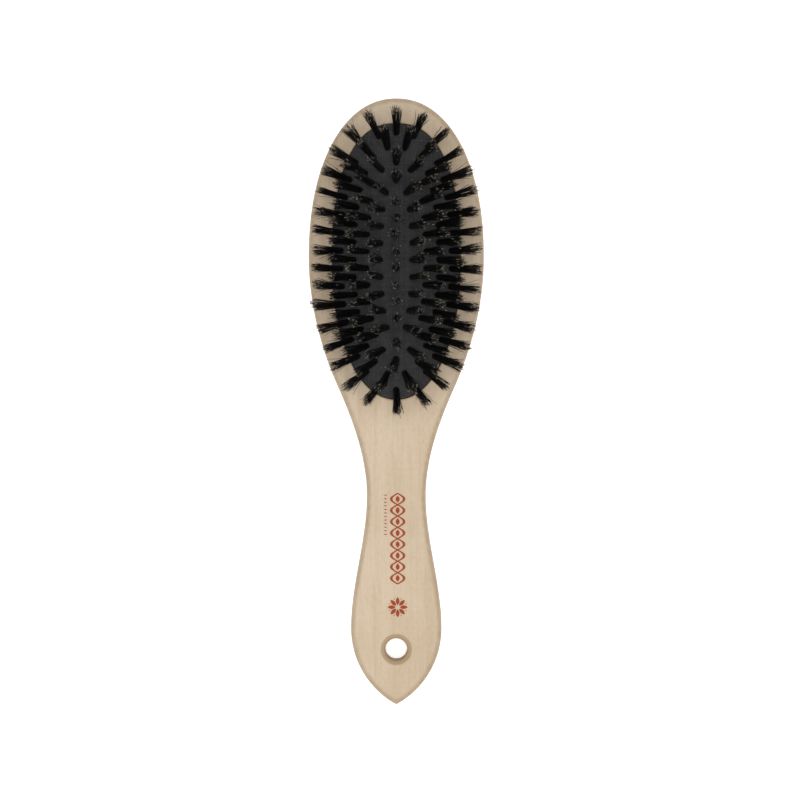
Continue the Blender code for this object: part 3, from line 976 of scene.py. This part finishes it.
def makeBristleTree():
    tree, given, result = newTree(
        "bristleTufts",
        "GeometryNodeTree",
        {
            "Tufts": ("Geometry", None),
            **sizeInputs(bristles),
            "Seed": ("Int", 1),
            "Finish": ("Material", None),
        },
        {"Bristles": "Geometry"},
    )
    calc, vector = mathIn(tree), vectorMathIn(tree)

    def chanceValue(low, high, offset):
        inputs = {2: low, 3: high, "Seed": calc("+", given["Seed"], offset)}
        return addNode(tree, "FunctionNodeRandomValue", inputs, data_type="FLOAT").outputs[1]

    def store(geometry, name, value, kind="FLOAT"):
        inputs = {"Name": name, "Value": value}
        return addStep(tree, geometry, "StoreNamedAttribute", inputs, data_type=kind, domain="POINT")

    def read(name, kind="FLOAT"):
        return addNode(tree, "GeometryNodeInputNamedAttribute", {"Name": name}, data_type=kind).outputs[0]

    # each hair's place in its tuft, as a share of the tuft's radius, and what sets it apart
    foot = addNode(tree, "GeometryNodeInputPosition").outputs[0]
    points = store(given["Tufts"], "base", foot, "FLOAT_VECTOR")
    points = store(points, "tuftNumber", addNode(tree, "GeometryNodeInputIndex").outputs[0])
    inputs = {"Amount": given["Hairs"]}
    points = addStep(tree, points, "DuplicateElements", inputs, domain="POINT")
    angle = chanceValue(0, 2 * math.pi, 0)
    radius = calc("POWER", chanceValue(0, 1, 1), 0.5)
    points = store(points, "u", calc("*", radius, calc("COSINE", angle)))
    points = store(points, "v", calc("*", radius, calc("SINE", angle)))
    points = store(points, "tone", chanceValue(0, 1, 2))
    stray = calc("LESS_THAN", chanceValue(0, 1, 3), given["Stray share"])
    bendAngle = chanceValue(0, 2 * math.pi, 4)
    bend = calc("*", given["Splay"], chanceValue(*hairShape["bend"], 5))
    strayBend = calc("*", given["Stray reach"], chanceValue(*hairShape["strayBend"], 6))
    bend = calc("+", bend, calc("*", stray, strayBend))
    points = store(points, "bendU", calc("*", bend, calc("COSINE", bendAngle)))
    points = store(points, "bendV", calc("*", bend, calc("SINE", bendAngle)))
    shorter = calc("*", hairShape["uneven"], calc("POWER", chanceValue(0, 1, 7), 1.5))
    rounded = calc("*", calc("POWER", radius, 3), hairShape["rounded"])
    points = store(points, "reach", calc("-", calc("-", 1, shorter), rounded))

    # a straight line for each hair, whose points are then put where they belong
    line = addNode(tree, "GeometryNodeCurvePrimitiveLine", {"End": (0, 0, mm)}).outputs[0]
    count = calc("+", given["Segments"], 1)
    line = addStep(tree, line, "ResampleCurve", {"Count": count})
    line = store(line, "along", addNode(tree, "GeometryNodeSplineParameter").outputs["Factor"])
    hairs = addStep(tree, points, "InstanceOnPoints", {"Instance": line})
    hairs = addStep(tree, hairs, "RealizeInstances")

    along, way = read("along"), read("way", "FLOAT_VECTOR")
    side = vector("NORMALIZE", vector("CROSS_PRODUCT", (0, 1, 0), way))
    across = vector("CROSS_PRODUCT", way, side)
    bending = calc("POWER", along, 2)
    widening = calc("-", calc("*", given["Tip radius"], read("spread")), given["Root radius"])
    widened = calc("+", given["Root radius"], calc("*", widening, calc("POWER", along, 1.5)))
    # neighbouring hairs lean the same way, so that a tuft ends in a few points
    tuftApart = calc("*", read("tuftNumber"), hairShape["tuftsApart"])
    spot = joined(tree, read("u"), read("v"), tuftApart)
    inputs = {"Vector": spot, "Scale": hairShape["clumps"], "Detail": 0.0}
    clumping = addNode(tree, "ShaderNodeTexNoise", inputs).outputs["Color"]
    clumping, curl = splitUp(tree, clumping), splitUp(tree, read("curl", "FLOAT_VECTOR"))

    def sideways(share, clump, bendName, curlPart):
        shift = calc("*", calc("-", clump, 0.5), calc("*", given["Splay"], hairShape["clumpLean"]))
        shift = calc("+", shift, calc("+", read(bendName), curlPart))
        return calc("+", calc("*", read(share), widened), calc("*", shift, bending))

    length = calc("*", given["Length"], calc("*", read("tall"), read("reach")))
    rise = calc("-", calc("*", along, calc("+", length, given["Buried"])), given["Buried"])
    place = vector("+", read("base", "FLOAT_VECTOR"), vector("SCALE", way, rise))
    place = vector("+", place, vector("SCALE", side, sideways("u", clumping["X"], "bendU", curl["X"])))
    place = vector("+", place, vector("SCALE", across, sideways("v", clumping["Y"], "bendV", curl["Y"])))
    hairs = addStep(tree, hairs, "SetPosition", {"Position": place})

    # tapered hairs of three sides, the paler ones a little thicker
    taper = calc("-", 1, calc("*", calc("POWER", along, 4), hairShape["taper"]))
    toneWidth = mapRange(tree, read("tone"), 0, 1, *hairShape["width"])
    thickness = calc("*", given["Hair radius"], calc("*", taper, toneWidth))
    section = addNode(tree, "GeometryNodeCurvePrimitiveCircle", {"Resolution": 3, "Radius": 1.0}).outputs[0]
    inputs = {"Profile Curve": section, "Scale": thickness, "Fill Caps": True}
    hairs = addStep(tree, hairs, "CurveToMesh", inputs)
    hairs = addStep(tree, hairs, "RealizeInstances")
    hairs = addStep(tree, hairs, "SetMaterial", {"Material": given["Finish"]})
    tree.links.new(hairs, result["Bristles"])
    return tree


def makeBristles():
    tree = makeBristleTree()
    for i, (body, nodes, count, looped, _) in enumerate(tuftRings["bundles"]):
        name = body.replace("_tufts", "Bristles")
        inputs = {**bristles, "Seed": 10 * i, "Finish": boarBristle}
        piece = growPiece(name, tuftMeshes[i].copy(), tree, inputs)
        for label in "base way curl tall spread tuftNumber u v bendU bendV reach".split():
            piece.data.attributes.remove(piece.data.attributes[label])
        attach(piece, body)
        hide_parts(*[f"{nodes}_{k + 1:02d}" for k in range(count // looped)])
        print("  ", name, len(piece.data.polygons), "faces")


makeBristles()
print("bristles grown")


# Cushion: a dome of cloth over a dome of rubber


def makeDomeTree():
    tree, given, result = newTree(
        "cushionDome",
        "GeometryNodeTree",
        {"Tufts": ("Geometry", None), **sizeInputs(clothPadSizes), "Finish": ("Material", None)},
        {"Dome": "Geometry"},
    )
    calc = mathIn(tree)
    columns, rows = calc("+", given["Columns"], 1), calc("+", given["Rows"], 1)
    inputs = {"Size X": 1.0, "Size Y": 1.0, "Vertices X": columns, "Vertices Y": rows}
    grid = addNode(tree, "GeometryNodeMeshGrid", inputs).outputs[0]
    # the grid's x turns round the cushion, and its y goes out from the middle row and down the pocket's wall
    here = addNode(tree, "GeometryNodeInputPosition").outputs[0]
    parts = splitUp(tree, here)
    angle = calc("*", calc("+", parts["X"], 0.5), -2 * math.pi)
    out = calc("+", parts["Y"], 0.5)
    domeShare = 0.94  # of the rows, the others being tucked down the wall
    t = calc("*", mapRange(tree, out, 0, domeShare), given["Rim"])
    tucked = calc("*", mapRange(tree, out, domeShare, 1), given["Tuck"])
    s, c = calc("SINE", angle), calc("COSINE", angle)
    towardsHead = calc("GREATER_THAN", s, 0)
    more = cushion["headFullness"] - cushion["handleFullness"]
    fullness = calc("+", calc("*", towardsHead, more), cushion["handleFullness"])
    side = calc("MAXIMUM", calc("-", 1, calc("POWER", calc("ABSOLUTE", s), fullness)), 0)
    side = calc("*", calc("POWER", side, calc("/", 1, fullness)), calc("SIGN", c))
    x = calc("*", calc("*", side, t), pocketHalfWidth)
    spread = calc("+", cushion["endSpread"], calc("*", t, 1 - cushion["endSpread"]))
    endLength = pocketHalfLength - cushion["rowHalfLength"]
    halfLength = calc("+", cushion["rowHalfLength"], calc("*", calc("*", t, spread), endLength))
    y = calc("+", calc("*", s, halfLength), pocketY)
    z = calc("*", calc("-", 1, calc("*", t, t)), cushion["domeHeight"])
    z = calc("-", calc("-", calc("+", z, faceZ), given["Depth"]), tucked)
    dome = addStep(tree, grid, "SetPosition", {"Position": joined(tree, x, y, z)})
    dome = addStep(tree, dome, "MergeByDistance", {"Distance": 0.001 * mm})

    # each tuft draws the layer down round it, and the layer ripples a little between them
    near = addNode(tree, "GeometryNodeProximity", {0: given["Tufts"]}, target_element="POINTS")
    near = calc("POWER", calc("/", near.outputs["Distance"], given["Dimple radius"]), 2)
    dimple = calc("*", calc("EXPONENT", calc("*", near, -1)), given["Dimple depth"])
    ripple = noise(tree, here, 160.0, 2)  # ripples about 6 mm apart
    ripple = calc("*", calc("-", ripple, 0.5), calc("*", given["Ripple"], 2))
    shift = joined(tree, z=calc("-", ripple, dimple))
    dome = addStep(tree, dome, "SetPosition", {"Offset": shift})
    dome = addStep(tree, dome, "SetShadeSmooth")
    dome = addStep(tree, dome, "RealizeInstances")
    dome = addStep(tree, dome, "SetMaterial", {"Material": given["Finish"]})
    tree.links.new(dome, result["Dome"])
    return tree


clothPadSizes = {
    "Rows": 56,
    "Columns": 400,
    "Depth": 0.0,
    "Rim": ovalAtInset(cushion["layerGap"]),
    "Tuck": 1.3 * mm,
    "Dimple depth": 0.45 * mm,
    "Dimple radius": 1.7 * mm,
    "Ripple": 0.08 * mm,
}
clothThickness = 0.5 * mm
skirt = {
    "inset": 1.2 * mm,  # from the pocket's wall
    "thickness": 1.2 * mm,
    "below": 0.1 * mm,  # the wood's face
    "steps": 180,
}
rubberSizes = {
    **clothPadSizes,
    "Rows": 24,
    "Columns": 160,
    "Depth": clothThickness + cushion["layerGap"],
    "Rim": ovalAtInset(skirt["inset"]),
    "Tuck": skirt["below"],
    "Ripple": 0.0,
}
rubberThickness = 1.2 * mm
# the cushion's give at the middle, as a share of the dome's height
pressJoint = next(joint for joint in frame["joints"] if joint["name"] == "centre_press")
keptHeight = 1 + min(pressJoint["range_m"]) / cushion["domeHeight"]


def everyTuft():
    # all tufts in one mesh, with the air vent's place between the middle row and the inner ring
    points = [vert.co.copy() for mesh in tuftMeshes for vert in mesh.vertices]
    ventY = -(cushion["rowHalfLength"] + ovalSize(ringOval(0))[1]) / 2
    points.append(Vector((0, pocketY + ventY, faceZ + domeAt(0, ventY))))
    mesh = bpy.data.meshes.new("everyTuft")
    mesh.from_pydata(points, [], [])
    return mesh


def makeDome(name, tree, sizes, thickness, finish):
    piece = growPiece(name, everyTuft(), tree, {**sizes, "Finish": finish}, thickness)
    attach(piece, "root")
    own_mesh(piece)
    return piece


def makeRubberLip():
    # the skirt below the dome, with the lip that sits in the pocket's groove
    outer, inner, top = skirt["inset"], skirt["inset"] + skirt["thickness"], -skirt["below"]
    gap, reach = cushion["layerGap"], cushion["layerGap"] - pocket["grooveDepth"]
    lipTop = -pocket["grooveTop"] - gap
    lipBase = -pocket["grooveTop"] - pocket["grooveHeight"] + gap
    foot = gap - pocket["depth"]
    section = (
        (outer, top), (outer, lipTop), (reach, lipTop), (reach, lipBase),
        (outer, lipBase), (outer, foot), (inner, foot), (inner, top),
    )
    bm = bmesh.new()
    rows = []
    for inset, z in section:
        oval = ovalRing(ovalAtInset(inset), skirt["steps"])
        rows.append([bm.verts.new((x, y + pocketY, faceZ + z)) for x, y in oval])
    for high, low in zip(rows, rows[1:] + rows[:1]):
        bridge(bm, high, low)
    finishPiece("rubberLip", bm, blackRubber)


domeTree = makeDomeTree()
clothPad = makeDome("clothPad", domeTree, clothPadSizes, clothThickness, wovenFacing)
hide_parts("cloth_facing")
rubberDome = makeDome("rubberDome", domeTree, rubberSizes, rubberThickness, blackRubber)
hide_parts("rubber_cushion")
makeRubberLip()
print("cushion made:", len(clothPad.data.polygons), "faces in the cloth")


# Studio: pale floor, soft light from above, and the camera straight over the brush

studio = {
    "floorSize": 3.0,
    "floorGlow": 0.45,
    "lights": {  # place, size and power; they point at the origin
        "overhead": ((0, -0.05, 1.7), 1.5, 36.5),
        "handleFill": ((0.05, -0.32, 0.55), 0.25, 0.55),
        "leftFill": ((-1.3, -0.4, 0.9), 0.8, 1.5),
        "rightFill": ((1.3, -0.4, 0.9), 0.8, 1.5),
    },
    "skyStrength": 0.2,
    "lens": 165.9,
    "cameraPlace": (1.355 * mm, 0.55 * mm, 1.362),
}


def makeFloor():
    half = studio["floorSize"] / 2
    corners = [(-half, -half, 0), (half, -half, 0), (half, half, 0), (-half, half, 0)]
    mesh = bpy.data.meshes.new("floor")
    mesh.from_pydata(corners, [], [(0, 1, 2, 3)])
    finish, tree, shader, place = newFinish(
        "paleFloor", **{"Emission Color": (1, 1, 1, 1), "Emission Strength": studio["floorGlow"]}
    )
    tone = noise(tree, place, 3.0, 2)
    whites = [(value, value, value, 1) for value in (0.95, 0.98)]
    tree.links.new(mixColours(tree, tone, *whites), shader["Base Color"])
    tree.links.new(mapRange(tree, tone, 0, 1, 0.75, 0.85), shader["Roughness"])
    # clear from below, so that the brush's back can be seen through it
    below = addNode(tree, "ShaderNodeNewGeometry").outputs["Backfacing"]
    solid = tree.nodes["Principled BSDF"].outputs[0]
    clear = addNode(tree, "ShaderNodeBsdfTransparent").outputs[0]
    either = addNode(tree, "ShaderNodeMixShader", {0: below, 1: solid, 2: clear}).outputs[0]
    tree.links.new(either, tree.nodes["Material Output"].inputs["Surface"])
    mesh.materials.append(finish)
    floor = addPiece("floor", mesh)
    floor.location.z = woodLow.z - 0.05 * mm


def addSoftLight(name, place, size, power):
    data = bpy.data.lights.new(name, "AREA")
    data.shape, data.size, data.energy = "SQUARE", size, power
    light = addPiece(name, data)
    light.location = place
    light.rotation_euler = (-Vector(place)).to_track_quat("-Z", "Y").to_euler()


def makeStudio():
    makeFloor()
    for name, (place, size, power) in studio["lights"].items():
        addSoftLight(name, place, size, power)
    world = bpy.data.worlds.new("studio")
    world.use_nodes = True
    background = world.node_tree.nodes["Background"].inputs
    background["Color"].default_value = (1, 1, 1, 1)
    # the camera sees a white backdrop, and the brush gets only a dim fill from it
    seen = addNode(world.node_tree, "ShaderNodeLightPath").outputs["Is Camera Ray"]
    strength = mapRange(world.node_tree, seen, 0, 1, studio["skyStrength"], 1)
    world.node_tree.links.new(strength, background["Strength"])
    bpy.context.scene.world = world
    bpy.context.scene.view_settings.view_transform = "Standard"
    camera = addPiece("camera", bpy.data.cameras.new("camera"))
    camera.data.lens = studio["lens"]
    camera.location = studio["cameraPlace"]
    bpy.context.scene.camera = camera


makeStudio()
print("studio made")
